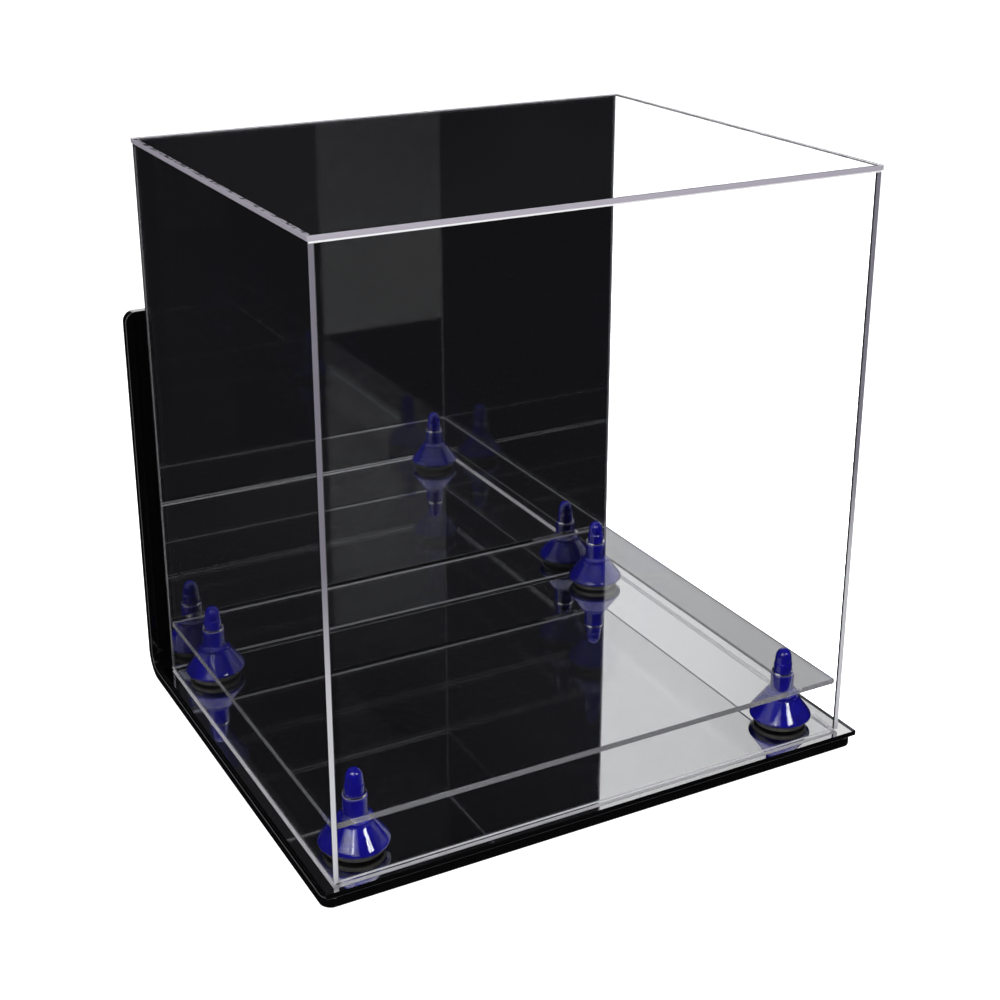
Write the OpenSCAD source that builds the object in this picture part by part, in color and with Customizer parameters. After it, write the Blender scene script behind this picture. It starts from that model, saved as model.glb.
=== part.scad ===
// Clear display case: a five-panel cover over a mirrored base plate, a raised
// clear platform on four turned risers, and a bent sheet bracket for a wall.
// Millimetres, +Z up, front towards -Y. The origin lies on the bracket's
// underside, on the cover's centre plane, midway between front and wall.

/* [Cover] */
// Width of the cover over its side panels
cover_w = 387; // [240:1:600]
// Depth of the cover over its front and back panels
cover_d = 312; // [240:1:500]
// Height of the cover with its top panel
cover_h = 403.5; // [200:0.5:700]
// Thickness of each cover panel
panel_t = 3.2; // [2:0.1:6]
// Distance that the top panel stands out past the walls
top_overhang = 0.8; // [0:0.1:3]

/* [Base plate] */
// Thickness of the mirrored base plate
plate_t = 3.5; // [2:0.1:8]
// Plate left bare at each side of the cover
side_margin = 9; // [4:0.5:30]
// Plate left bare in front of the cover
front_margin = 8; // [4:0.5:30]
// Sideways offset of the plate from the cover's centre
plate_shift = 1; // [-3:0.5:3]

/* [Wall bracket] */
// Thickness of the bent bracket sheet
bracket_t = 7; // [3:0.5:12]
// Height of the upright leg over the bracket's underside
leg_h = 287.5; // [200:0.5:500]
// Gap between the cover's back panel and the upright leg
wall_gap = 17; // [15:0.5:60]
// Inner radius of the bend between the legs
bend_r = 11; // [3:0.5:14]
// Radius of the bracket's four outer corners
corner_r = 8; // [1:0.5:20]
// Sideways offset of the bracket from the cover's centre
bracket_shift = -1; // [-3:0.5:3]

/* [Wall screw holes] */
// Diameter of each hole
screw_d = 5.5; // [3:0.5:10]
// Distance of each hole's axis from the bracket's side edge
screw_side = 52.5; // [15:0.5:80]
// Height of the lower pair over the bracket's underside
screw_low = 80; // [45:0.5:95]
// Distance of the upper pair below the leg's top edge
screw_top = 57.5; // [15:0.5:80]

/* [Platform] */
// Thickness of the clear platform
platform_t = 4; // [3:0.5:8]
// Gap between the platform's edges and the cover's panels
platform_gap = 1; // [0.5:0.1:4]
// Radial clearance of the platform's holes around the pins
pin_clearance = 1; // [0.3:0.1:1.2]

/* [Risers] */
// Height of the shoulders, which carry the platform, over the base plate
riser_h = 36; // [32:0.5:90]
// Radius of the rim, the widest part
rim_r = 21.75; // [19:0.25:35]
// Height of the rim's straight band
rim_h = 1.25; // [0.5:0.25:3]
// Gap between each rim and the cover's side panel
rim_gap_side = 3.25; // [0.5:0.25:40]
// Gap between the front rims and the cover's front panel
rim_gap_front = 6.75; // [0.5:0.25:40]
// Gap between the rear rims and the cover's back panel
rim_gap_rear = 1.25; // [0.5:0.25:40]
// Height of the flare from the riser's underside up to the rim
flare_h = 1.75; // [1:0.25:5]
// Width of that flare
flare_w = 3; // [1:0.25:4.5]
// Width of the slope that softens the rim's upper edge
rim_slope_w = 0.9; // [0.3:0.1:1.2]
// Height of that slope
rim_slope_h = 1.5; // [0.5:0.1:2.5]
// Height of the cone above the rim
cone_h = 13.75; // [8:0.25:17]
// Width of the cone's top edge around the neck
cone_top_w = 3.75; // [2.75:0.25:5]
// Width of the small ring above the cone around the neck
ring_w = 2.5; // [0.5:0.25:2.5]
// Height of that ring
ring_h = 1.25; // [0.5:0.25:2]
// Width of the shoulder between the neck and the pin
shoulder_w = 1.75; // [1.5:0.25:3]
// Radius of the pin through the platform
pin_r = 6.4; // [5:0.1:9]
// Height of the pin over the shoulder
pin_h = 21.1; // [20:0.1:40]
// Height of the rounded tip
tip_h = 10.1; // [4:0.1:11]
// Width of the step below the rounded tip
tip_step = 0.5; // [0.25:0.25:2]

/* [Riser feet] */
// Radius of each rubber foot
foot_r = 18.5; // [14:0.25:18.5]
// Height of each foot under its riser
foot_h = 3.5; // [3:0.25:6]
// Radius of the foot's plug
plug_r = 5; // [3:0.25:6]
// Height of the plug inside the riser
plug_h = 7.5; // [4:0.5:12]
// Radial clearance of the plug in its socket
plug_clearance = 0.05; // [0.03:0.01:0.1]
// Clearance over the plug's end
plug_end_gap = 0.5; // [0.2:0.1:1]

/* [Hidden] */
$fn = 96;

// bracket and plate, from the front edge at y = front_y to the wall at y = wall_y
sheet_w = cover_w + 2 * side_margin;
total_d = front_margin + cover_d + wall_gap + bracket_t;
front_y = -total_d / 2;
wall_y = total_d / 2;
leg_y = wall_y - bracket_t;
bend_y = leg_y - bend_r;
bend_z = bracket_t + bend_r;
plate_top = bracket_t + plate_t;

// cover
cover_y = front_y + front_margin;
wall_h = cover_h - panel_t;
inner_w = cover_w - 2 * panel_t;
inner_d = cover_d - 2 * panel_t;

// platform and risers
shoulder_z = plate_top + riser_h;
riser_x = inner_w / 2 - rim_r - rim_gap_side;
riser_front_y = cover_y + panel_t + rim_r + rim_gap_front;
riser_rear_y = cover_y + cover_d - panel_t - rim_r - rim_gap_rear;
neck_r = pin_r + shoulder_w;
ring_fillet = 1.5;  // height of the slope from the ring into the neck
tip_slope = 1;      // height of the step below the rounded tip
cut = 1;            // overrun of a cutting solid past a face

clear = [0.86, 0.89, 0.92, 0.35];

// Rounds one corner: what is left of an r by r square block outside a quarter
// circle, centred on the corner's arc and pointing towards +X +Y.
module corner_waste(r, t) {
    difference() {
        cube([r + cut, r + cut, t]);
        translate([0, 0, -cut]) cylinder(r = r, h = t + 2 * cut);
    }
}

// Section of the bent sheet in the Y-Z plane: flat leg, quarter bend, upright leg
module bracket_section() {
    translate([front_y, 0]) square([bend_y - front_y, bracket_t]);
    translate([leg_y, bend_z]) square([bracket_t, leg_h - bend_z]);
    translate([bend_y, bend_z]) intersection() {
        difference() {
            circle(r = bend_r + bracket_t);
            circle(r = bend_r);
        }
        translate([0, -bend_z]) square([bend_z, bend_z]);
    }
}

module wall_bracket() {
    color([0.03, 0.03, 0.035]) translate([bracket_shift, 0, 0]) difference() {
        rotate([90, 0, 90]) linear_extrude(sheet_w, center = true) bracket_section();
        for (side = [-1, 1]) {
            // front corners of the flat leg
            translate([side * (sheet_w / 2 - corner_r), front_y + corner_r, -cut])
                rotate([0, 0, side > 0 ? -90 : 180])
                    corner_waste(corner_r, bracket_t + 2 * cut);
            // top corners of the upright leg
            translate([side * (sheet_w / 2 - corner_r), wall_y + cut, leg_h - corner_r])
                rotate([90, 0, 0]) rotate([0, 0, side > 0 ? 0 : 90])
                    corner_waste(corner_r, bracket_t + 2 * cut);
            // wall screw holes
            for (z = [screw_low, leg_h - screw_top])
                translate([side * (sheet_w / 2 - screw_side), wall_y + cut, z])
                    rotate([90, 0, 0]) cylinder(d = screw_d, h = bracket_t + 2 * cut);
        }
    }
}

// Mirrored plate: lies on the flat leg and ends where the bend starts
module base_mirror() {
    color([0.75, 0.77, 0.80]) translate([plate_shift - sheet_w / 2, front_y, bracket_t])
        cube([sheet_w, bend_y - front_y, plate_t]);
}

// Front or back panel, which stands between the side panels
module end_panel(y) {
    translate([-inner_w / 2, y, plate_top]) cube([inner_w, panel_t, wall_h]);
}

module cover_front() {
    color(clear) end_panel(cover_y);
}

module cover_back_mirror() {
    color([0.62, 0.63, 0.67]) end_panel(cover_y + cover_d - panel_t);
}

// Side panel, left with side = -1 and right with side = 1
module side_panel(side) {
    color(clear) translate([side * (cover_w - panel_t) / 2 - panel_t / 2, cover_y, plate_top])
        cube([panel_t, cover_d, wall_h]);
}

module cover_top() {
    color(clear) translate([-cover_w / 2 - top_overhang, cover_y - top_overhang, plate_top + wall_h])
        cube([cover_w + 2 * top_overhang, cover_d + 2 * top_overhang, panel_t]);
}

// Places its children at one riser: side -1 left, 1 right; row -1 front, 1 rear
module at_riser(side, row) {
    translate([side * riser_x, row < 0 ? riser_front_y : riser_rear_y, 0]) children();
}

module platform() {
    color(clear) difference() {
        translate([-inner_w / 2 + platform_gap, cover_y + panel_t + platform_gap, shoulder_z])
            cube([inner_w - 2 * platform_gap, inner_d - 2 * platform_gap, platform_t]);
        for (side = [-1, 1], row = [-1, 1])
            at_riser(side, row) translate([0, 0, shoulder_z - cut])
                cylinder(r = pin_r + pin_clearance, h = platform_t + 2 * cut);
    }
}

// Half outline of a riser from its underside up, with z over the base plate
rim_low = foot_h + flare_h;
rim_top = rim_low + rim_h;
cone_top = rim_top + cone_h;
cone_top_r = neck_r + cone_top_w;
cone_points = [
    [rim_r, rim_top],
    [rim_r - rim_slope_w, rim_top + rim_slope_h],
    [cone_top_r, cone_top]
];
ring_points = [
    [cone_top_r, cone_top + ring_h / 2],
    [neck_r + ring_w, cone_top + ring_h / 2],
    [neck_r + ring_w, cone_top + ring_h * 1.5],
    [neck_r, cone_top + ring_h * 1.5 + ring_fillet]
];
tip_base = riser_h + pin_h - tip_h;
// the rounded tip is a little fuller than half an ellipse
tip_power = 0.8;
tip_points = [for (a = [0 : 15 : 90])
    [(pin_r - tip_step) * pow(cos(a), tip_power), tip_base + tip_h * pow(sin(a), tip_power)]];

module riser(side, row) {
    color([0.06, 0.05, 0.52]) at_riser(side, row) translate([0, 0, plate_top]) difference() {
        rotate_extrude() polygon(concat(
            [[0, foot_h], [rim_r - flare_w, foot_h], [rim_r, rim_low]],
            cone_points,
            ring_points,
            [[neck_r, riser_h], [pin_r, riser_h], [pin_r, tip_base - tip_slope]],
            tip_points
        ));
        translate([0, 0, foot_h - cut])
            cylinder(r = plug_r, h = plug_h + plug_end_gap + cut);
    }
}

module riser_foot(side, row) {
    color([0.22, 0.22, 0.23]) at_riser(side, row) translate([0, 0, plate_top]) {
        cylinder(r = foot_r, h = foot_h);
        cylinder(r = plug_r - plug_clearance, h = foot_h + plug_h);
    }
}

wall_bracket();
base_mirror();
riser_foot(-1, -1);  // riser_foot_front_left
riser_foot(1, -1);  // riser_foot_front_right
riser_foot(-1, 1);  // riser_foot_rear_left
riser_foot(1, 1);  // riser_foot_rear_right
riser(-1, -1);  // riser_front_left
riser(1, -1);  // riser_front_right
riser(-1, 1);  // riser_rear_left
riser(1, 1);  // riser_rear_right
platform();
cover_back_mirror();
side_panel(-1);  // cover_left
side_panel(1);  // cover_right
cover_front();
cover_top();
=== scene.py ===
import math

import bmesh
import bpy
import numpy as np
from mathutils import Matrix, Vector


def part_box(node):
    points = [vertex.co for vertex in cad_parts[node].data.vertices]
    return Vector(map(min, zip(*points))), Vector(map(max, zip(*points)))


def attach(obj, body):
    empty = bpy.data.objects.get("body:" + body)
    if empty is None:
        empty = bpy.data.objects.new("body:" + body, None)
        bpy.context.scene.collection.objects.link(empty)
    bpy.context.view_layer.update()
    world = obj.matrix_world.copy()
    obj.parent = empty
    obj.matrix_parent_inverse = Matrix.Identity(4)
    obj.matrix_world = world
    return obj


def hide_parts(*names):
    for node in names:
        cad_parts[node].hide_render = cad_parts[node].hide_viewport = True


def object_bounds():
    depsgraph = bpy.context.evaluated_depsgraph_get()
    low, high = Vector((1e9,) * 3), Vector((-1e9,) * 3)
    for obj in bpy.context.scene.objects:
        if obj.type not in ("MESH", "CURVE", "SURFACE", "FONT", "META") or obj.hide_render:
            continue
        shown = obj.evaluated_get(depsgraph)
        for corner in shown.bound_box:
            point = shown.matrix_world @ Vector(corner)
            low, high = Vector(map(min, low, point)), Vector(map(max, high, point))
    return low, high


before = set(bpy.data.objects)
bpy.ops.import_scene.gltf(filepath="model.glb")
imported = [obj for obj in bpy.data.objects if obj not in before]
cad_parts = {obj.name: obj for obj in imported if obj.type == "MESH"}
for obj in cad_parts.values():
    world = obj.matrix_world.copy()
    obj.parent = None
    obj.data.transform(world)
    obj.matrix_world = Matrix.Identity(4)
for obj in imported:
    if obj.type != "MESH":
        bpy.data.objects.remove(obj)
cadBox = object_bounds()
mm = 0.001

# What several pieces share
sheets = {
    "edgeRadius": 0.25 * mm,     # polished edge of a clear sheet
    "glueOverlap": 0.02 * mm,    # welded panels run this far into each other, so no air shows in the joint
    "restGap": 0.03 * mm,        # air under a piece that only rests on another
    "filmThickness": 0.15 * mm,  # silvering and its backing paint
}


def nodeBox(node):
    low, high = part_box(node)
    return np.array(low), np.array(high)


def crispLines(shape, group):
    for line in shape.edges:
        sides = line.link_faces
        line.smooth = (len(sides) == 2 and sides[0][group] == sides[1][group]
                       and line.calc_face_angle(0) < math.radians(35))


def meshPiece(name, points, faces, slotIndices, materials, groups=None):
    # groups numbers the faces that are shaded as one surface, so the lines between groups stay crisp
    mesh = bpy.data.meshes.new(name)
    mesh.from_pydata(points.reshape(-1, 3).tolist(), [], faces)
    mesh.polygons.foreach_set("material_index", slotIndices)
    tidy = bmesh.new()
    tidy.from_mesh(mesh)
    group = tidy.faces.layers.int.new("group")
    for face, number in zip(tidy.faces, groups if groups is not None else [0] * len(faces)):
        face[group] = number
    bmesh.ops.remove_doubles(tidy, verts=tidy.verts, dist=1e-7)
    crispLines(tidy, group)
    tidy.to_mesh(mesh)
    tidy.free()
    for material in materials:
        mesh.materials.append(material)
    mesh.polygons.foreach_set("use_smooth", [True] * len(mesh.polygons))
    piece = bpy.data.objects.new(name, mesh)
    bpy.context.scene.collection.objects.link(piece)
    return piece


def gridFaces(rows, columns, wrap):
    # quads between neighbouring rows; columns close into a ring when wrap is true
    row, column = np.meshgrid(np.arange(rows - 1), np.arange(columns if wrap else columns - 1), indexing="ij")
    after = (column + 1) % columns
    quads = np.stack([row * columns + column, row * columns + after,
                      (row + 1) * columns + after, (row + 1) * columns + column], axis=-1)
    return quads.reshape(-1, 4).tolist()


def roundedEnds(low, high, radius, steps):
    # insets and places along one direction of a section with a quarter round at each end:
    # inset = radius * (1 - sin t), place = end + radius * (1 - cos t), with t from 0 to 90 degrees
    t = np.linspace(0, np.pi / 2, steps)
    inset = radius * (1 - np.sin(t))
    place = radius * (1 - np.cos(t))
    return np.concatenate([inset, inset[::-1]]), np.concatenate([low + place, (high - place)[::-1]])


def sheetPiece(name, low, high, thin, corner, materials, slots, edge=None):
    # A flat sheet with rounded edges. Point (k, j) is a corner's centre plus (corner - inset_j) times the
    # direction a_k, at height_j through the sheet. slots gives the low face, the edge, the high face and
    # the edge that the sheet stands on.
    edge = edge or sheets["edgeRadius"]
    across, along = ((1, 2), (2, 0), (0, 1))[thin]
    inset, height = roundedEnds(low[thin], high[thin], edge, 4)
    steps = 4 if corner < 2 * mm else 14
    turn = np.linspace(0, np.pi / 2, steps)
    angle = np.concatenate([turn + quarter * np.pi / 2 for quarter in range(4)])
    centreU = np.repeat([high[across] - corner, low[across] + corner, low[across] + corner, high[across] - corner],
                        steps)
    centreV = np.repeat([high[along] - corner, high[along] - corner, low[along] + corner, low[along] + corner], steps)
    reach = corner - inset[:, None]
    points = np.zeros((len(inset), len(angle), 3))
    points[..., across] = centreU + reach * np.cos(angle)
    points[..., along] = centreV + reach * np.sin(angle)
    points[..., thin] = height[:, None]
    rows, columns = points.shape[:2]
    sides = gridFaces(rows, columns, True)
    lowFace = list(range(columns))[::-1]
    highFace = list(range((rows - 1) * columns, rows * columns))
    bottom = (points.reshape(-1, 3)[np.array(sides), 2] < low[2] + 2 * edge).all(axis=1)
    indices = np.where(bottom, slots[-1], slots[1]).tolist() + [slots[0], slots[2]]
    flatRow = np.arange(rows - 1) == rows // 2 - 1
    straight = np.arange(columns) % steps == steps - 1
    groups = (1 + flatRow[:, None] + 2 * straight).ravel().tolist() + [0, 5]
    return meshPiece(name, points, sides + [lowFace, highFace], indices, materials, groups)


def softProfile(corners, steps=4):
    # Outline through (radius, height, softness) corners: each corner becomes a parabola that starts and
    # ends at its softness from the corner, p = (1-t)^2 a + 2t(1-t) b + t^2 c. A point a little beyond
    # each end keeps the shading of the straight stretches straight.
    corners = np.array(corners, float)
    place, soft = corners[:, :2], corners[:, 2]
    t = np.linspace(0, 1, steps)[:, None]
    parts = [place[:1]]
    for index in range(1, len(place) - 1):
        before, here, after = place[index - 1], place[index], place[index + 1]
        if soft[index] == 0:
            parts.append(here[None])
            continue
        back = (before - here) / np.linalg.norm(before - here) * soft[index]
        on = (after - here) / np.linalg.norm(after - here) * soft[index]
        a, c = here + back, here + on
        curve = (1 - t) ** 2 * a + 2 * t * (1 - t) * here + t ** 2 * c
        parts += [(a + 0.3 * back)[None], curve, (c + 0.3 * on)[None]]
    parts.append(place[-1:])
    return np.concatenate(parts)


def turnedPiece(name, profile, centre, steps, materials, slotOf=None):
    # Point (k, j) is the centre plus (r_j cos a_k, r_j sin a_k, z_j), with the profile in millimetres
    angle = np.arange(steps) / steps * 2 * np.pi
    radius, height = profile[:, :1] * mm, profile[:, 1:2] * mm
    points = np.stack([centre[0] + radius * np.cos(angle), centre[1] + radius * np.sin(angle),
                       centre[2] + height + 0 * angle], axis=-1)
    faces = gridFaces(len(profile), steps, True)
    indices = [0] * len(faces) if slotOf is None else np.repeat(slotOf, steps).tolist()
    return meshPiece(name, points, faces, indices, materials)


def newMaterial(name):
    material = bpy.data.materials.new(name)
    material.use_nodes = True
    nodes, links = material.node_tree.nodes, material.node_tree.links
    nodes.clear()
    output = nodes.new("ShaderNodeOutputMaterial")
    shader = nodes.new("ShaderNodeBsdfPrincipled")
    links.new(shader.outputs[0], output.inputs["Surface"])
    return material, nodes, links, shader, output


def setSockets(shader, **values):
    for socket, value in values.items():
        shader.inputs[socket.replace("_", " ")].default_value = value


def objectNoise(nodes, links, scale, detail, stretch=(1, 1, 1)):
    place = nodes.new("ShaderNodeTexCoord")
    mapping = nodes.new("ShaderNodeMapping")
    mapping.inputs["Scale"].default_value = stretch
    noise = nodes.new("ShaderNodeTexNoise")
    noise.inputs["Scale"].default_value = scale
    noise.inputs["Detail"].default_value = detail
    links.new(place.outputs["Object"], mapping.inputs["Vector"])
    links.new(mapping.outputs["Vector"], noise.inputs["Vector"])
    return noise.outputs["Fac"]


def rangeNode(nodes, links, source, fromLow, fromHigh, toLow, toHigh):
    node = nodes.new("ShaderNodeMapRange")
    node.interpolation_type = "SMOOTHSTEP"
    links.new(source, node.inputs["Value"])
    for socket, value in zip(("From Min", "From Max", "To Min", "To Max"), (fromLow, fromHigh, toLow, toHigh)):
        node.inputs[socket].default_value = value
    return node.outputs["Result"]


def mixColours(nodes, links, factor, a, b):
    node = nodes.new("ShaderNodeMix")
    node.data_type = "RGBA"
    for socket, source in (("Factor", factor), ("A", a), ("B", b)):
        if isinstance(source, tuple):
            node.inputs[socket].default_value = (*source, 1)
        else:
            links.new(source, node.inputs[socket])
    return node.outputs["Result"]


def bumpNode(nodes, links, source, shader, strength, distance):
    bump = nodes.new("ShaderNodeBump")
    bump.inputs["Strength"].default_value = strength
    bump.inputs["Distance"].default_value = distance
    links.new(source, bump.inputs["Height"])
    links.new(bump.outputs["Normal"], shader.inputs["Normal"])


def letLampsThrough(nodes, links, surface, output, colour):
    # lamps and the light of matt surfaces pass straight through the sheet
    path = nodes.new("ShaderNodeLightPath")
    either = nodes.new("ShaderNodeMath")
    either.operation = "MAXIMUM"
    links.new(path.outputs["Is Shadow Ray"], either.inputs[0])
    links.new(path.outputs["Is Diffuse Ray"], either.inputs[1])
    passing = nodes.new("ShaderNodeBsdfTransparent")
    passing.inputs["Color"].default_value = (*colour, 1)
    mix = nodes.new("ShaderNodeMixShader")
    links.new(either.outputs[0], mix.inputs[0])
    links.new(surface, mix.inputs[1])
    links.new(passing.outputs[0], mix.inputs[2])
    links.new(mix.outputs[0], output.inputs["Surface"])


clearLook = {
    "faceColour": (0.985, 0.988, 0.992),
    "edgeColour": (0.90, 0.89, 0.93),
    "sawnColour": (0.88, 0.87, 0.91),
    # frost colours: painted shade high on the side panels' edges and painted light low down, standing for the dark
    # mirror and the bright base seen through them
    "paintedShadeHigh": (0.24, 0.225, 0.275),
    "paintedLightLow": (0.70, 0.70, 0.73),
    "paintedLightFade": (0.12, 0.23),   # heights between which the painted light low down gives way to the painted shade above
    # lilac grey, mostly opaque, on clear edges: partly a frosted edge's tone, partly painted light gathered from around
    # the sheet
    "lilacPaintedLightColour": (0.44, 0.415, 0.475),
    "platformColour": (0.97, 0.972, 0.975),
    "ior": 1.49,
    "edgeRoughness": 0.05,
    "sawnRoughness": 0.35,
}


def clearSheet(name, colour, roughness, transmission=1.0, scatter=0.0, paintedLowColour=None, shiny=True):
    material, nodes, links, shader, output = newMaterial(name)
    setSockets(shader, Base_Color=(*colour, 1), IOR=clearLook["ior"], Transmission_Weight=transmission)
    smudges = objectNoise(nodes, links, 9, 6)
    links.new(rangeNode(nodes, links, smudges, 0.62, 0.80, roughness, roughness + 0.03), shader.inputs["Roughness"])
    if paintedLowColour:
        # the edge colour blends by height from the painted light low down to the painted shade above
        height = nodes.new("ShaderNodeSeparateXYZ")
        links.new(nodes.new("ShaderNodeTexCoord").outputs["Object"], height.inputs[0])
        rise = rangeNode(nodes, links, height.outputs["Z"], *clearLook["paintedLightFade"], 0, 1)
        links.new(mixColours(nodes, links, rise, paintedLowColour, colour), shader.inputs["Base Color"])
    surface = shader.outputs[0]
    if scatter:
        # light that runs down inside the sheet comes out of its edge in every direction
        spread = nodes.new("ShaderNodeBsdfTranslucent")
        spread.inputs["Color"].default_value = (*colour, 1)
        mix = nodes.new("ShaderNodeMixShader")
        mix.inputs[0].default_value = scatter
        links.new(surface, mix.inputs[1])
        links.new(spread.outputs[0], mix.inputs[2])
        surface = mix.outputs[0]
    if not shiny:
        # the silver behind gives all the reflection
        bend = nodes.new("ShaderNodeBsdfRefraction")
        bend.inputs["Color"].default_value = (*colour, 1)
        bend.inputs["Roughness"].default_value = roughness
        bend.inputs["IOR"].default_value = clearLook["ior"]
        mix = nodes.new("ShaderNodeMixShader")
        mix.inputs[0].default_value = 1
        links.new(surface, mix.inputs[1])
        links.new(bend.outputs[0], mix.inputs[2])
        surface = mix.outputs[0]
    letLampsThrough(nodes, links, surface, output, tuple(0.5 + 0.5 * c for c in colour))
    return material


mirrorLook = {"silver": (0.82, 0.815, 0.81), "roughness": 0.012, "paint": (0.055, 0.056, 0.06)}


def mirrorSilver():
    material, nodes, links, shader, _ = newMaterial("mirrorSilver")
    setSockets(shader, Base_Color=(*mirrorLook["silver"], 1), Metallic=1.0)
    haze = objectNoise(nodes, links, 14, 5)
    low = mirrorLook["roughness"]
    links.new(rangeNode(nodes, links, haze, 0.45, 0.85, low, low + 0.03), shader.inputs["Roughness"])
    return material


def mirrorPaint():
    material, nodes, links, shader, _ = newMaterial("mirrorPaint")
    setSockets(shader, Base_Color=(*mirrorLook["paint"], 1), Roughness=0.45)
    grain = objectNoise(nodes, links, 900, 3)
    bumpNode(nodes, links, grain, shader, 0.25, 0.05 * mm)
    return material


seamAndHighlightLook = {
    # glow: a white painted highlight, standing for the light that the front joint catches
    "glow": (0.93, 0.93, 0.93),
    "seam": (0.36, 0.34, 0.39),
    # the right seam is the left seam's colour in a darker painted shade
    "paintedShadeSeam": (0.15, 0.155, 0.16),
    "dots": (0.02, 0.02, 0.022),
    "wide": 1.3 * mm,    # painted highlight: the bright line under the top sheet's front edge
    "thick": 0.04 * mm,
    "inset": 0.15 * mm,
}


def seamAndHighlightMaterial(name, kind):
    # the bright line is a plain painted highlight, standing for light caught in the front joint; the side seams are
    # greyer and have dark dots along them, and the right one is darker with painted shade
    material, nodes, links, shader, _ = newMaterial(name)
    setSockets(shader, Base_Color=(*seamAndHighlightLook[kind], 1), Roughness=0.4)
    beads = objectNoise(nodes, links, 240, 2)
    if kind != "glow":
        dots = rangeNode(nodes, links, beads, 0.50, 0.60, 0, 1)
        links.new(mixColours(nodes, links, dots, seamAndHighlightLook[kind], seamAndHighlightLook["dots"]), shader.inputs["Base Color"])
    links.new(rangeNode(nodes, links, beads, 0.10, 0.30, 0.6, 0.95), shader.inputs["Alpha"])
    return material


blackLook = {
    "face": (0.0015, 0.0015, 0.0016),
    "edge": (0.0022, 0.0022, 0.0024),
    # painted highlight: the bracket's rounded edges are drawn lighter than its faces, in place of reflected light
    "paintedArrisHighlight": (0.055, 0.055, 0.058),
    "paintedSeeThrough": (0.22, 0.22, 0.225),    # painted grey on the base plate's clear right rim, standing for the white and the dark seen through it
    "rear": (0.012, 0.012, 0.013),   # rear edge of the left panel, clear but drawn near black as painted shade
    "joint": (0.045, 0.045, 0.048),  # ends of the front panel
    "faceRoughness": 0.035,
    "edgeRoughness": 0.16,
}


def blackSheet(name, colour, roughness):
    material, nodes, links, shader, _ = newMaterial(name)
    setSockets(shader, Base_Color=(*colour, 1), IOR=1.49)
    rubs = objectNoise(nodes, links, 22, 7)
    links.new(rangeNode(nodes, links, rubs, 0.55, 0.85, roughness, roughness + 0.10), shader.inputs["Roughness"])
    return material


blueLook = {"colour": (0.007, 0.005, 0.235), "deep": (0.005, 0.004, 0.165), "roughness": 0.03}


def blueGloss():
    material, nodes, links, shader, _ = newMaterial("blueGloss")
    setSockets(shader, IOR=1.5, Coat_Weight=0.4, Coat_Roughness=0.02)
    clouds = objectNoise(nodes, links, 120, 4)
    blend = rangeNode(nodes, links, clouds, 0.35, 0.65, 0, 1)
    links.new(mixColours(nodes, links, blend, blueLook["deep"], blueLook["colour"]), shader.inputs["Base Color"])
    low = blueLook["roughness"]
    links.new(rangeNode(nodes, links, clouds, 0.40, 0.75, low, low + 0.04), shader.inputs["Roughness"])
    peel = objectNoise(nodes, links, 420, 2)
    bumpNode(nodes, links, peel, shader, 0.12, 0.05 * mm)
    return material


rubberLook = {"colour": (0.115, 0.110, 0.102), "worn": (0.165, 0.160, 0.150)}


def footRubber():
    material, nodes, links, shader, _ = newMaterial("footRubber")
    clouds = objectNoise(nodes, links, 260, 5)
    blend = rangeNode(nodes, links, clouds, 0.40, 0.75, 0, 1)
    links.new(mixColours(nodes, links, blend, rubberLook["colour"], rubberLook["worn"]), shader.inputs["Base Color"])
    links.new(rangeNode(nodes, links, clouds, 0.30, 0.70, 0.52, 0.70), shader.inputs["Roughness"])
    grain = objectNoise(nodes, links, 1500, 3)
    bumpNode(nodes, links, grain, shader, 0.3, 0.06 * mm)
    return material


clearFace = clearSheet("clearFace", clearLook["faceColour"], 0.0)
mirrorFace = clearSheet("mirrorFace", clearLook["faceColour"], 0.0, shiny=False)
clearEdge = clearSheet("clearEdge", clearLook["edgeColour"], clearLook["edgeRoughness"], 0.80)
sawnEdge = clearSheet("sawnEdge", clearLook["sawnColour"], clearLook["sawnRoughness"], 0.10, 0.5)
frostPaintedLightEdge = clearSheet("frostPaintedLightEdge", clearLook["paintedShadeHigh"], clearLook["sawnRoughness"], 0.25,
                       paintedLowColour=clearLook["paintedLightLow"])
lilacPaintedLightEdge = clearSheet("lilacPaintedLightEdge", clearLook["lilacPaintedLightColour"], clearLook["edgeRoughness"], 0.12)
platformFace = clearSheet("platformFace", clearLook["platformColour"], 0.0)
silver, backing = mirrorSilver(), mirrorPaint()
paintedJointHighlight = seamAndHighlightMaterial("paintedJointHighlight", "glow")
cementDots, cementPaintedShade = seamAndHighlightMaterial("cementDots", "seam"), seamAndHighlightMaterial("cementPaintedShade", "paintedShadeSeam")
paintedSeeThroughEdge = blackSheet("paintedSeeThroughEdge", blackLook["paintedSeeThrough"], blackLook["edgeRoughness"])
paintedShadeRear = blackSheet("paintedShadeRear", blackLook["rear"], blackLook["edgeRoughness"])
darkJoint = blackSheet("darkJoint", blackLook["joint"], blackLook["edgeRoughness"])
blackFace = blackSheet("blackFace", blackLook["face"], blackLook["faceRoughness"])
blackEdge = blackSheet("blackEdge", blackLook["edge"], blackLook["edgeRoughness"])
paintedHighlightArris = blackSheet("paintedHighlightArris", blackLook["paintedArrisHighlight"], blackLook["edgeRoughness"])
blue, rubber = blueGloss(), footRubber()
print("materials done")


def finish(piece, body, slot, *nodes):
    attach(piece, body)
    if nodes:
        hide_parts(*nodes)
    return piece


def slotByDirection(piece, direction, slot, newSlot):
    # faces within about 45 degrees of the direction go from one slot to another
    for face in piece.data.polygons:
        if face.material_index == slot and face.normal.dot(direction) > 0.7:
            face.material_index = newSlot


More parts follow.
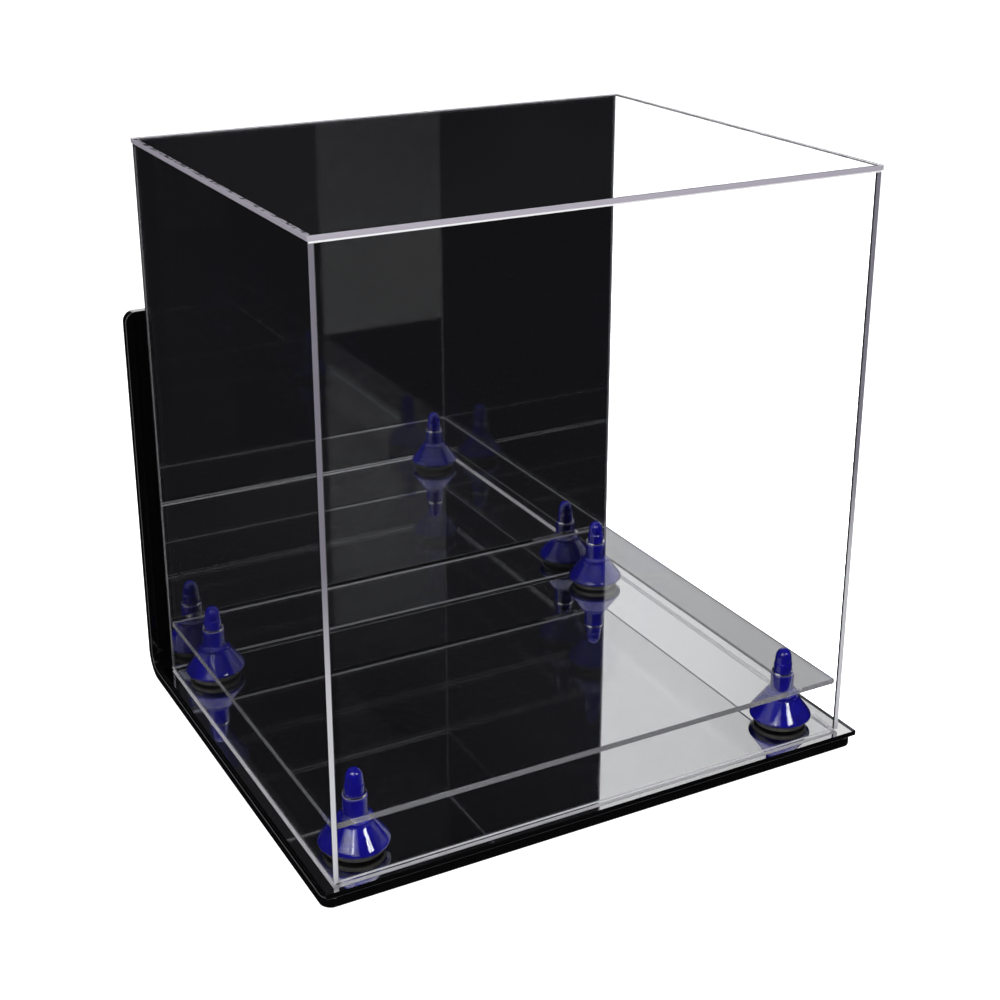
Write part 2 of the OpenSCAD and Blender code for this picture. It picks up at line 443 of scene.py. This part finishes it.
def coverPanel(node, thin, grow):
    # grow holds how far each side runs on into its neighbour: ((low x, y, z), (high x, y, z)) in glue overlaps.
    # Slots: 0 the faces and the hidden joints, 1 the edges, 2 the edge it stands on, 3 the rear edge, which on
    # the front panel is its two ends.
    low, high = nodeBox(node)
    low = low - np.array(grow[0]) * sheets["glueOverlap"]
    high = high + np.array(grow[1]) * sheets["glueOverlap"]
    if node != "cover_top":
        low[2] += sheets["restGap"]
    corner = sheets["edgeRadius"] * 1.2
    slots = (0, 1, 0, 1 if node == "cover_top" else 2)
    # the side panels' edges are frosted and carry the painted shade and light
    edge = {"cover_top": lilacPaintedLightEdge, "cover_front": clearEdge}.get(node, frostPaintedLightEdge)
    # the left panel's rear edge takes painted shade
    rear = {"cover_left": paintedShadeRear, "cover_front": darkJoint}.get(node, lilacPaintedLightEdge)
    piece = sheetPiece(node + "_panel", low, high, thin, corner, [clearFace, edge, sawnEdge, rear], slots)
    slotByDirection(piece, (0, 1, 0), 1, 3)
    if node != "cover_top":
        slotByDirection(piece, (0, 0, 1), 1, 0)
    if node == "cover_front":
        for sign in (-1, 1):
            slotByDirection(piece, (sign, 0, 0), 1, 3)
    return finish(piece, "cover", "clear_sheet", node)


def seamAndHighlightStrip(name, low, high, thin, material):
    piece = sheetPiece(name, low, high, thin, 0.03 * mm, [material], (0, 0, 0, 0), seamAndHighlightLook["thick"] / 4)
    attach(piece, "cover")


coverPanel("cover_front", 1, ((1, 0, 0), (1, 0, 0)))
coverPanel("cover_left", 0, ((0, 0, 0), (0, 0, 0)))
coverPanel("cover_right", 0, ((0, 0, 0), (0, 0, 0)))
coverPanel("cover_top", 2, ((0, 0, 1), (0, 0, 0)))

frontLow, frontHigh = nodeBox("cover_front")
leftLow, leftHigh = nodeBox("cover_left")
rightLow, rightHigh = nodeBox("cover_right")
thick, inset = seamAndHighlightLook["thick"], seamAndHighlightLook["inset"]
# the front strip is a painted highlight: a white line where the joint catches light
seamAndHighlightStrip("cover_painted_highlight_front",
           np.array([leftLow[0] + inset, frontLow[1] - thick / 2, frontHigh[2] - seamAndHighlightLook["wide"]]),
           np.array([rightHigh[0] - inset, frontLow[1] + thick / 2, frontHigh[2]]), 1, paintedJointHighlight)
# the right seam is drawn in the darker painted shade
for side, low, high, material in (("left", leftLow, leftHigh, cementDots), ("right", rightLow, rightHigh, cementPaintedShade)):
    seamAndHighlightStrip("cover_seam_" + side, np.array([low[0] + inset, low[1] + inset, high[2] - thick * 0.75]),
               np.array([high[0] - inset, high[1] - inset, high[2] + thick * 0.25]), 2, material)


def mirroredPanel(node, body, thin, grow, silverLow, lift):
    # clear sheet with a silvered and painted film on its hidden side
    low, high = nodeBox(node)
    low = low - np.array(grow) * sheets["glueOverlap"]
    high = high + np.array(grow) * sheets["glueOverlap"]
    low[2] += lift
    film = sheets["filmThickness"]
    clearLow, clearHigh, filmLow, filmHigh = low.copy(), high.copy(), low.copy(), high.copy()
    if silverLow:  # the silver looks towards the low side, so the film is on the high side
        clearHigh[thin] -= film - sheets["glueOverlap"]
        filmLow[thin] = high[thin] - film
        slots = (0, 1, 1, 1)
    else:
        clearLow[thin] += film - sheets["glueOverlap"]
        filmHigh[thin] = low[thin] + film
        slots = (1, 1, 0, 1)
    corner = sheets["edgeRadius"] * 1.2
    rim = clearEdge if silverLow else blackEdge
    clear = sheetPiece(node + "_sheet", clearLow, clearHigh, thin, corner, [mirrorFace, rim, paintedSeeThroughEdge], (0, 1, 0, 1))
    # the base plate's right rim takes the painted see-through grey
    if not silverLow:
        slotByDirection(clear, (1, 0, 0), 1, 2)
    coat = sheetPiece(node + "_film", filmLow, filmHigh, thin, corner, [silver, backing], slots, 0.03 * mm)
    finish(clear, body, "clear_sheet", node)
    finish(coat, body, "mirror_sheet")


mirroredPanel("cover_back_mirror", "cover", 1, (1, 0, 0), True, sheets["restGap"])
mirroredPanel("base_mirror", "base", 2, (0, 0, 0), False, 0)
print("cover and base done")


bracket = {
    "thickness": 7 * mm,
    "bendRadius": 11 * mm,    # inside the bend
    "cornerRadius": 8 * mm,
    "edgeRadius": 0.5 * mm,
    "holeRadius": 2.75 * mm,
    "holeSide": 52.5 * mm,    # from the side edges
    "holeLow": 80 * mm,       # lower pair over the underside
    "holeTop": 57.5 * mm,     # upper pair below the top edge
}


def endSteps(radius, steps):
    return radius * (1 - np.cos(np.linspace(0, np.pi / 2, steps)))


def bracketPiece():
    # The section, a rounded rectangle, is carried along the sheet's middle line: straight, round the bend,
    # straight up. s is the distance along that line. Near an end the half width is
    # width / 2 - corner + sqrt(corner^2 - (corner - s)^2), and the half thickness rounds off alike.
    low, high = nodeBox("wall_bracket")
    thick, corner, edge = bracket["thickness"], bracket["cornerRadius"], bracket["edgeRadius"]
    halfWidth, middleX = (high[0] - low[0]) / 2, (high[0] + low[0]) / 2
    bendY, bendZ = high[1] - thick - bracket["bendRadius"], low[2] + thick + bracket["bendRadius"]
    midRadius = bracket["bendRadius"] + thick / 2
    flat, arc, upright = bendY - low[1], midRadius * np.pi / 2, high[2] - bendZ
    length = flat + arc + upright
    ends = np.unique(np.concatenate([endSteps(edge, 5), endSteps(corner, 14)]))
    beside = 0.5 * mm  # a row just before and after the bend keeps the flats' shading flat
    s = np.concatenate([ends, [flat - beside], flat + arc * np.linspace(0, 1, 25), [flat + arc + beside],
                        (length - ends)[::-1]])
    fromEnd = np.minimum(s, length - s)
    width = halfWidth - corner + np.sqrt(corner ** 2 - (corner - np.minimum(fromEnd, corner)) ** 2)
    height = thick / 2 - edge + np.sqrt(edge ** 2 - (edge - np.minimum(fromEnd, edge)) ** 2)
    bend = np.clip((s - flat) / arc, 0, 1) * np.pi / 2
    lineY = low[1] + np.minimum(s, flat) + midRadius * np.sin(bend)
    lineZ = low[2] + thick / 2 + midRadius * (1 - np.cos(bend)) + np.maximum(s - flat - arc, 0)
    turn = np.linspace(0, np.pi / 2, 4)
    angle = np.concatenate([turn + quarter * np.pi / 2 for quarter in range(4)])
    signX = np.repeat([1, -1, -1, 1], 4)
    signN = np.repeat([1, 1, -1, -1], 4)
    acrossX = signX * (width[:, None] - edge) + edge * np.cos(angle)
    acrossN = signN * (height[:, None] - edge) + edge * np.sin(angle)
    points = np.stack([middleX + acrossX,
                       lineY[:, None] - acrossN * np.sin(bend)[:, None],
                       lineZ[:, None] + acrossN * np.cos(bend)[:, None]], axis=-1)
    rows, columns = points.shape[:2]
    # the section runs anticlockwise as seen against the path, so its quads are turned to face outwards
    sides = [face[::-1] for face in gridFaces(rows, columns, True)]
    startFace = list(range(columns))
    endFace = list(range((rows - 1) * columns, rows * columns))[::-1]
    flatSides = (np.arange(columns) % 4 == 3) & (np.arange(columns) // 4 % 2 == 0)
    straight = np.arange(columns) % 4 == 3
    groups = np.tile(np.where(flatSides, 0, 1), rows - 1).tolist() + [1, 1]
    # slot 2, on the rounded edges, takes the painted arris highlight
    slots = np.tile(np.where(flatSides, 0, np.where(straight, 1, 2)), rows - 1).tolist() + [1, 1]
    piece = meshPiece("wall_bracket_sheet", points, sides + [startFace, endFace], slots,
                      [blackFace, blackEdge, paintedHighlightArris], groups)
    drillHoles(piece, middleX, halfWidth, low, high)
    return piece


def drillHoles(piece, middleX, halfWidth, low, high):
    centres = [(middleX + side * (halfWidth - bracket["holeSide"]), z) for side in (-1, 1)
               for z in (low[2] + bracket["holeLow"], high[2] - bracket["holeTop"])]
    angle = np.linspace(0, 2 * np.pi, 40, endpoint=False)
    deep = np.array([-1, 1]) * 0.01
    points = np.array([[[x + bracket["holeRadius"] * math.cos(a), high[1] + y, z + bracket["holeRadius"] * math.sin(a)]
                        for a in angle] for x, z in centres for y in deep])
    faces = []
    for hole in range(len(centres)):
        first = hole * 2 * len(angle)
        faces += [[first + index for index in quad] for quad in gridFaces(2, len(angle), True)]
        faces += [list(range(first, first + len(angle)))[::-1],
                  list(range(first + len(angle), first + 2 * len(angle)))]
    cutter = meshPiece("holeCutter", points, faces, [1] * len(faces), [blackFace, blackEdge])
    shape = bmesh.new()
    shape.from_mesh(cutter.data)
    bmesh.ops.recalc_face_normals(shape, faces=shape.faces)
    shape.to_mesh(cutter.data)
    shape.free()
    cut = piece.modifiers.new("holes", "BOOLEAN")
    cut.operation, cut.solver, cut.object = "DIFFERENCE", "EXACT", cutter
    drilled = bpy.data.meshes.new_from_object(piece.evaluated_get(bpy.context.evaluated_depsgraph_get()))
    piece.modifiers.clear()
    piece.data = drilled
    lines = bmesh.new()
    lines.from_mesh(drilled)
    crispLines(lines, lines.faces.layers.int["group"])
    lines.to_mesh(drilled)
    lines.free()
    bpy.data.objects.remove(cutter)


finish(bracketPiece(), "base", "black_sheet", "wall_bracket")
print("bracket done")


riser = {
    # millimetres over the base plate
    "socketRadius": 5, "socketTop": 11.5, "underside": 3.5, "baseRadius": 18.75,
    "rimRadius": 21.75, "rimLow": 5.25, "rimTop": 6.5, "slopeRadius": 20.85, "slopeTop": 8.0,
    "coneTop": 20.25, "coneTopRadius": 11.9, "ledge": 20.875, "ringRadius": 10.65, "ringTop": 22.125,
    "neckRadius": 8.15, "neckLow": 23.625, "shoulder": 35.97,
    "pinRadius": 6.4, "pinTop": 46, "tipRadius": 5.9, "tipLow": 47, "tipTop": 57.1,
}


def riserProfile():
    # body and pin with softened corners; tip: r = tip radius * cos^0.8 a and z = height * sin^0.8 a, which is
    # a little fuller than half an ellipse
    corners = [("socketRadius", "socketTop", 0.2), ("socketRadius", "underside", 0.3), ("baseRadius", "underside", 0.5),
               ("rimRadius", "rimLow", 0.45), ("rimRadius", "rimTop", 0.45), ("slopeRadius", "slopeTop", 0.85),
               ("coneTopRadius", "coneTop", 0.25), ("coneTopRadius", "ledge", 0.2), ("ringRadius", "ledge", 0.2),
               ("ringRadius", "ringTop", 0.4), ("neckRadius", "neckLow", 0.7), ("neckRadius", "shoulder", 0.35),
               ("pinRadius", "shoulder", 0), ("pinRadius", "pinTop", 0.4), ("tipRadius", "tipLow", 0.3)]
    body = softProfile([(0, riser["socketTop"], 0)]
                       + [(riser[radius], riser[height], softness) for radius, height, softness in corners]
                       + [(riser["tipRadius"] * 0.998, riser["tipLow"] + 0.5, 0)])
    a = np.linspace(0.05, np.pi / 2, 20)
    tip = np.stack([riser["tipRadius"] * abs(np.cos(a)) ** 0.8,
                    riser["tipLow"] + (riser["tipTop"] - riser["tipLow"]) * np.sin(a) ** 0.8], axis=-1)
    tip[-1, 0] = 0
    return np.concatenate([body, tip])


foot = {"radius": 18.5, "height": 3.5, "plugRadius": 4.95, "plugTop": 11}


def footProfile():
    return softProfile([(0, 0.03, 0), (foot["radius"] - 0.6, 0.03, 0.3), (foot["radius"], 0.8, 0.5),
                        (foot["radius"], foot["height"], 0.4), (foot["plugRadius"], foot["height"], 0.3),
                        (foot["plugRadius"], foot["plugTop"], 0.5), (0, foot["plugTop"], 0)])


plateTop = nodeBox("base_mirror")[1][2]
for row in ("front", "rear"):
    for side in ("left", "right"):
        low, high = nodeBox(f"riser_{row}_{side}")
        centre = np.array([(low[0] + high[0]) / 2, (low[1] + high[1]) / 2, plateTop])
        turned = turnedPiece(f"riser_{row}_{side}_turned", riserProfile(), centre, 96, [blue])
        finish(turned, "risers", "blue_gloss", f"riser_{row}_{side}")
        pad = turnedPiece(f"riser_foot_{row}_{side}_pad", footProfile(), centre, 72, [rubber])
        finish(pad, "risers", "foot_rubber", f"riser_foot_{row}_{side}")
print("risers done")


platform = {"holeRadius": 7.4 * mm, "edgeRadius": 0.25 * mm}


def platformPiece():
    # A sheet with one hole in each quarter. Each quarter is a grid round its hole: angle a, and a section that
    # goes down the hole's wall, out along the underside, up the outer edge and back along the top. An outer
    # point is where the ray at angle a meets the quarter's rectangle. The front and rear quarters meet on a
    # line midway between the rows of holes, and the left and right ones on the middle line.
    low, high = nodeBox("platform")
    low[2] += sheets["restGap"]
    holes = [(corner[0] + corner[1]) / 2 for corner in (nodeBox("riser_front_right"), nodeBox("riser_rear_right"))]
    middleX = (low[0] + high[0]) / 2
    innerX, outerX = holes[0][0] - middleX, high[0] - holes[0][0]
    innerY, outerY = (holes[1][1] - holes[0][1]) / 2, (holes[0][1] - low[1], high[1] - holes[1][1])
    cornerX = np.array([-innerX, -innerX, -innerX, outerX, outerX, outerX])
    cornerY = np.array([-innerY, *outerY] * 2)
    angle = np.unique(np.concatenate([np.linspace(-np.pi, np.pi, 72, endpoint=False), np.arctan2(cornerY, cornerX)]))
    dirX, dirY = np.cos(angle), np.sin(angle)
    inset, height = roundedEnds(low[2], high[2], platform["edgeRadius"], 4)
    count, columns, half = len(inset), len(angle), len(inset) // 2
    level = np.broadcast_to(height[:, None], (count, columns))
    wallR = platform["holeRadius"] + inset[:, None]
    wall = np.stack([wallR * dirX, wallR * dirY, level], axis=-1)[::-1]
    rows = 2 * count + 1
    points, faces, slots, groups = [], [], [], []
    for signY, hole, reachY in ((-1, holes[0], outerY[0]), (1, holes[1], outerY[1])):
        far = 1 / np.maximum(abs(dirX) / np.where(dirX > 0, outerX, innerX),
                             abs(dirY) / np.where(dirY > 0, reachY, innerY))
        outX, outY = far * dirX, far * dirY
        rim = np.stack([np.minimum(outX, outerX - inset[:, None]), np.minimum(outY, reachY - inset[:, None]), level],
                       axis=-1)
        section = np.concatenate([wall, rim, wall[:1]])
        quads = np.array(gridFaces(rows, columns, True))
        row, column = np.divmod(np.arange(len(quads)), columns)
        after = (column + 1) % columns
        seamX, seamY = outX < 1e-6 - innerX, outY < 1e-6 - innerY
        onEdge = (row >= count) & (row < 2 * count - 1)
        keep = ~(onEdge & ((seamX[column] & seamX[after]) | (seamY[column] & seamY[after])))
        flat = (row == count - 1) | (row == rows - 2)
        straightWall = row == half - 1
        group = np.where(flat, 0, 1 + onEdge + 2 * (row % count == half - 1))
        for signX in (-1, 1):
            quarter = section * (signX, signY, 1) + (middleX + signX * innerX, hole[1], 0)
            turned = quads if signX * signY > 0 else quads[:, ::-1]
            faces += (turned[keep] + len(points) * rows * columns).tolist()
            slots += np.where(flat | straightWall, 0, 1)[keep].tolist()
            groups += group[keep].tolist()
            points.append(quarter)
    return meshPiece("platform_sheet", np.array(points), faces, slots, [platformFace, clearEdge], groups)


finish(platformPiece(), "platform", "clear_sheet", "platform")
print("platform done")


def mathNode(nodes, links, operation, first, second=None):
    node = nodes.new("ShaderNodeMath")
    node.operation = operation
    for index, source in enumerate((first, second)):
        if source is None:
            continue
        if isinstance(source, (int, float)):
            node.inputs[index].default_value = source
        else:
            links.new(source, node.inputs[index])
    return node.outputs[0]


def rayKinds(nodes, links):
    # mirrored: a ray that has met a mirror or a gloss; once: only one of them; faint: as mirrored, but weaker
    # after the first; inside: one that has met a mirror in the case; outside: one that has gone through no
    # sheet; glint: once, on a piece behind a panel or behind a panel and the platform; soft: the same, and on
    # the outside; through: one that has only gone through sheets; deep: through three sheets or more
    path = nodes.new("ShaderNodeLightPath")
    notMatt = mathNode(nodes, links, "LESS_THAN", path.outputs["Diffuse Depth"], 0.5)
    onward = mathNode(nodes, links, "MULTIPLY", notMatt, mathNode(
        nodes, links, "MAXIMUM", path.outputs["Is Glossy Ray"], path.outputs["Is Transmission Ray"]))
    glossy = mathNode(nodes, links, "GREATER_THAN", path.outputs["Glossy Depth"], 0.5)
    mirrored = mathNode(nodes, links, "MULTIPLY", onward, glossy)
    once = mathNode(nodes, links, "MULTIPLY", mirrored,
                    mathNode(nodes, links, "LESS_THAN", path.outputs["Glossy Depth"], 1.5))
    through = mathNode(nodes, links, "SUBTRACT", onward, mirrored)
    deep = mathNode(nodes, links, "GREATER_THAN", path.outputs["Transmission Depth"], 4.5)

    def mirroredWithin(kind, fewest, most):
        above = mathNode(nodes, links, "GREATER_THAN", path.outputs["Transmission Depth"], fewest)
        below = mathNode(nodes, links, "LESS_THAN", path.outputs["Transmission Depth"], most)
        return mathNode(nodes, links, "MULTIPLY", kind, mathNode(nodes, links, "MULTIPLY", above, below))

    underPlatform = mirroredWithin(once, 7.5, 8.5)
    faint = mathNode(nodes, links, "ADD", mathNode(nodes, links, "MULTIPLY", mirrored, studio["twice"]),
                     mathNode(nodes, links, "MULTIPLY", once, 1 - studio["twice"]))
    return {"camera": path.outputs["Is Camera Ray"], "mirrored": mirrored, "through": through, "deep": deep,
            "faint": faint, "inside": mirroredWithin(mirrored, 5.5, 99), "outside": mirroredWithin(mirrored, -1, 0.5),
            "soft": mathNode(nodes, links, "ADD", mirroredWithin(once, -1, 5.5), underPlatform),
            "glint": mathNode(nodes, links, "ADD", mirroredWithin(once, 3.5, 5.5), underPlatform)}


studio = {
    "ambient": (0.42, 0.42, 0.43),
    "dark": (0.006, 0.006, 0.007),   # the unlit studio, seen in the mirrors
    "haze": (0.024, 0.024, 0.026),
    "twice": 0.55,                   # share of a card's glow left after a second mirror
    "pale": (0.80, 0.80, 0.80),      # bright walls at the sides and a bright ceiling, seen in the case's mirrors
    "wallFrom": (0.70, 0.80),        # how far sideways a ray has to go to meet a wall
    "ceilingFrom": (0.60, 0.80),     # how steep it has to be to meet the ceiling
    "floorDark": (0.008, 0.008, 0.009),
    "through": 4.0,                  # white seen through one or two sheets
    "deep": 0.42,                    # grey backdrop seen through three sheets
}


def makeStudio():
    world = bpy.data.worlds.new("studio")
    bpy.context.scene.world = world
    world.use_nodes = True
    nodes, links = world.node_tree.nodes, world.node_tree.links
    background = nodes["Background"]
    direction = nodes.new("ShaderNodeTexCoord").outputs["Generated"]
    noise = nodes.new("ShaderNodeTexNoise")
    noise.inputs["Scale"].default_value = 2.2
    noise.inputs["Detail"].default_value = 3
    links.new(direction, noise.inputs["Vector"])
    clouds = rangeNode(nodes, links, noise.outputs["Fac"], 0.40, 0.75, 0, 1)
    gloom = mixColours(nodes, links, clouds, studio["dark"], studio["haze"])
    kinds = rayKinds(nodes, links)
    parts = nodes.new("ShaderNodeSeparateXYZ")
    links.new(direction, parts.inputs[0])
    walls = rangeNode(nodes, links, mathNode(nodes, links, "ABSOLUTE", parts.outputs["X"]), *studio["wallFrom"], 0, 1)
    ceiling = rangeNode(nodes, links, parts.outputs["Z"], *studio["ceilingFrom"], 0, 1)
    bright = mathNode(nodes, links, "MULTIPLY", kinds["inside"], mathNode(nodes, links, "MAXIMUM", walls, ceiling))
    gloom = mixColours(nodes, links, bright, gloom, studio["pale"])
    behind = mixColours(nodes, links, kinds["deep"], (studio["through"],) * 3, (studio["deep"],) * 3)
    colour = mixColours(nodes, links, kinds["mirrored"], studio["ambient"], gloom)
    colour = mixColours(nodes, links, kinds["through"], colour, behind)
    links.new(mixColours(nodes, links, kinds["camera"], colour, (1.0, 1.0, 1.0)), background.inputs["Color"])


def emission(nodes, strength, colour=(1, 1, 1)):
    node = nodes.new("ShaderNodeEmission")
    node.inputs["Color"].default_value = (*colour, 1)
    node.inputs["Strength"].default_value = strength
    return node


def mixShaders(nodes, links, factor, a, b):
    mix = nodes.new("ShaderNodeMixShader")
    for index, source in enumerate((factor, a, b)):
        links.new(source, mix.inputs[index])
    return mix.outputs[0]


floorLook = {
    "colour": (0.93, 0.93, 0.93),
    "glow": 0.72,
    "behindGlow": 3.6,  # seen through one or two sheets
    "rearGlow": 1.6,    # seen in the bracket's back
    "fade": 30 * mm,
    "size": 14.0,
    "below": 0.4 * mm,
}


def makeFloor():
    size = floorLook["size"]
    mesh = bpy.data.meshes.new("floor")
    mesh.from_pydata([(-size, -size, 0), (size, -size, 0), (size, size, 0), (-size, size, 0)], [], [(0, 1, 2, 3)])
    floor = bpy.data.objects.new("floor", mesh)
    floor.location.z = cadBox[0][2] - floorLook["below"]
    bpy.context.scene.collection.objects.link(floor)
    material, nodes, links, shader, output = newMaterial("paleFloor")
    kinds = rayKinds(nodes, links)
    matt = nodes.new("ShaderNodeBsdfDiffuse")
    matt.inputs["Color"].default_value = (*floorLook["colour"], 1)

    def glowing(strength):
        add = nodes.new("ShaderNodeAddShader")
        links.new(matt.outputs[0], add.inputs[0])
        links.new(emission(nodes, strength).outputs[0], add.inputs[1])
        return add.outputs[0]

    behind = mixShaders(nodes, links, kinds["deep"], glowing(floorLook["behindGlow"]),
                        emission(nodes, studio["deep"]).outputs[0])
    look = mixShaders(nodes, links, kinds["camera"], matt.outputs[0], glowing(floorLook["glow"]))
    look = mixShaders(nodes, links, kinds["through"], look, behind)
    # the floor looks dark in mirrors, but pale between the bracket and the backdrop
    place = nodes.new("ShaderNodeSeparateXYZ")
    links.new(nodes.new("ShaderNodeTexCoord").outputs["Object"], place.inputs[0])
    left, rear, fade = cadBox[0][0], cadBox[1][1], floorLook["fade"]
    back = mathNode(nodes, links, "MULTIPLY", rangeNode(nodes, links, place.outputs["Y"], rear, rear + fade, 0, 1),
                    mathNode(nodes, links, "LESS_THAN", place.outputs["Y"], cards["backdrop"][0][1]))
    back = mathNode(nodes, links, "MULTIPLY", back,
                    rangeNode(nodes, links, place.outputs["X"], left, left + fade, 0, 1))
    back = mathNode(nodes, links, "MULTIPLY", back, kinds["outside"])
    reflected = mixShaders(nodes, links, back, emission(nodes, 1, studio["floorDark"]).outputs[0],
                           emission(nodes, floorLook["rearGlow"]).outputs[0])
    look = mixShaders(nodes, links, kinds["mirrored"], look, reflected)
    links.new(look, output.inputs["Surface"])
    nodes.remove(shader)
    mesh.materials.append(material)


cards = {
    # seen in gloss and mirrors only: two ends in plan, low and high edge, glow at even steps, ray kind
    "backdrop": ((-0.19, 0.30), (0.71, 0.30), 0.000, 0.432,
                 (2.2, 2.2, 2.2, 1.2, 1.1, 1.05, 1.0, 0.86, 0.86, 0.86), "faint"),
    "stripRight": ((0.130, -0.880), (0.368, -0.794), 0.42, 0.70, (30, 30), "glint"),
    "boxLeft": ((-0.92, -0.15), (-0.36, -0.99), 0.38, 0.95, (0.5, 2, 4, 5, 4, 2, 0.5), "soft"),
    "boxCore": ((-0.70, -0.52), (-0.54, -0.71), 0.44, 0.70, (30, 30), "glint"),
}


def makeCards():
    # each card is a flat strip whose glow blends from step to step
    for name, (first, last, low, high, glows, kind) in cards.items():
        mesh = bpy.data.meshes.new(name)
        count = len(glows)
        plan = np.linspace(first, last, count)
        points = np.concatenate([np.column_stack([plan, np.full(count, z)]) for z in (low, high)])
        mesh.from_pydata(points.tolist(), [], gridFaces(2, count, False))
        glow = mesh.attributes.new("glow", "FLOAT", "POINT")
        glow.data.foreach_set("value", list(glows) * 2)
        material, nodes, links, shader, output = newMaterial(name)
        nodes.remove(shader)
        attribute = nodes.new("ShaderNodeAttribute")
        attribute.attribute_name = "glow"
        lit = emission(nodes, 1)
        links.new(attribute.outputs["Fac"], lit.inputs["Strength"])
        clear = nodes.new("ShaderNodeBsdfTransparent")
        look = mixShaders(nodes, links, rayKinds(nodes, links)[kind], clear.outputs[0], lit.outputs[0])
        links.new(look, output.inputs["Surface"])
        material.cycles.emission_sampling = "NONE"
        mesh.materials.append(material)
        card = bpy.data.objects.new(name, mesh)
        bpy.context.scene.collection.objects.link(card)


lamps = {
    # place, size across, size up, watts; none of them shows in gloss, which the cards are for
    "keyLeft": ((-0.95, -1.30, 1.55), 0.6, 0.6, 22),
    "overhead": ((0.30, -0.20, 1.9), 0.9, 0.9, 14),
}


def makeLamps(target):
    for name, (place, across, up, watts) in lamps.items():
        light = bpy.data.lights.new(name, "AREA")
        light.shape = "RECTANGLE"
        light.size, light.size_y, light.energy = across, up, watts
        lamp = bpy.data.objects.new(name, light)
        lamp.location = place
        aim = target - lamp.location
        lamp.rotation_euler = aim.to_track_quat("-Z", "Y").to_euler()
        lamp.visible_camera = lamp.visible_glossy = lamp.visible_transmission = False
        bpy.context.scene.collection.objects.link(lamp)


view = {
    "place": (-0.5158, -0.9729, 0.6268),
    "aim": (0.0102, 0.0007, 0.2153),
    "lens": 60.75,
    "shiftUp": -0.07,
}


def makeCamera():
    camera = bpy.data.objects.new("camera", bpy.data.cameras.new("camera"))
    camera.data.lens = view["lens"]
    camera.data.sensor_width = 36
    camera.data.shift_y = view["shiftUp"]
    camera.location = view["place"]
    place, aim = camera.location.copy(), camera.location.copy()
    aim[:] = view["aim"]
    camera.rotation_euler = (aim - place).to_track_quat("-Z", "Y").to_euler()
    bpy.context.scene.collection.objects.link(camera)
    bpy.context.scene.camera = camera


makeStudio()
makeFloor()
makeCards()
makeCamera()
makeLamps((cadBox[0] + cadBox[1]) / 2)
cycles = bpy.context.scene.cycles
cycles.max_bounces = cycles.transmission_bounces = 32  # sheets seen through sheets
cycles.glossy_bounces = 16
cycles.transparent_max_bounces = 32
bpy.context.scene.view_settings.view_transform = "Standard"
print("studio done")
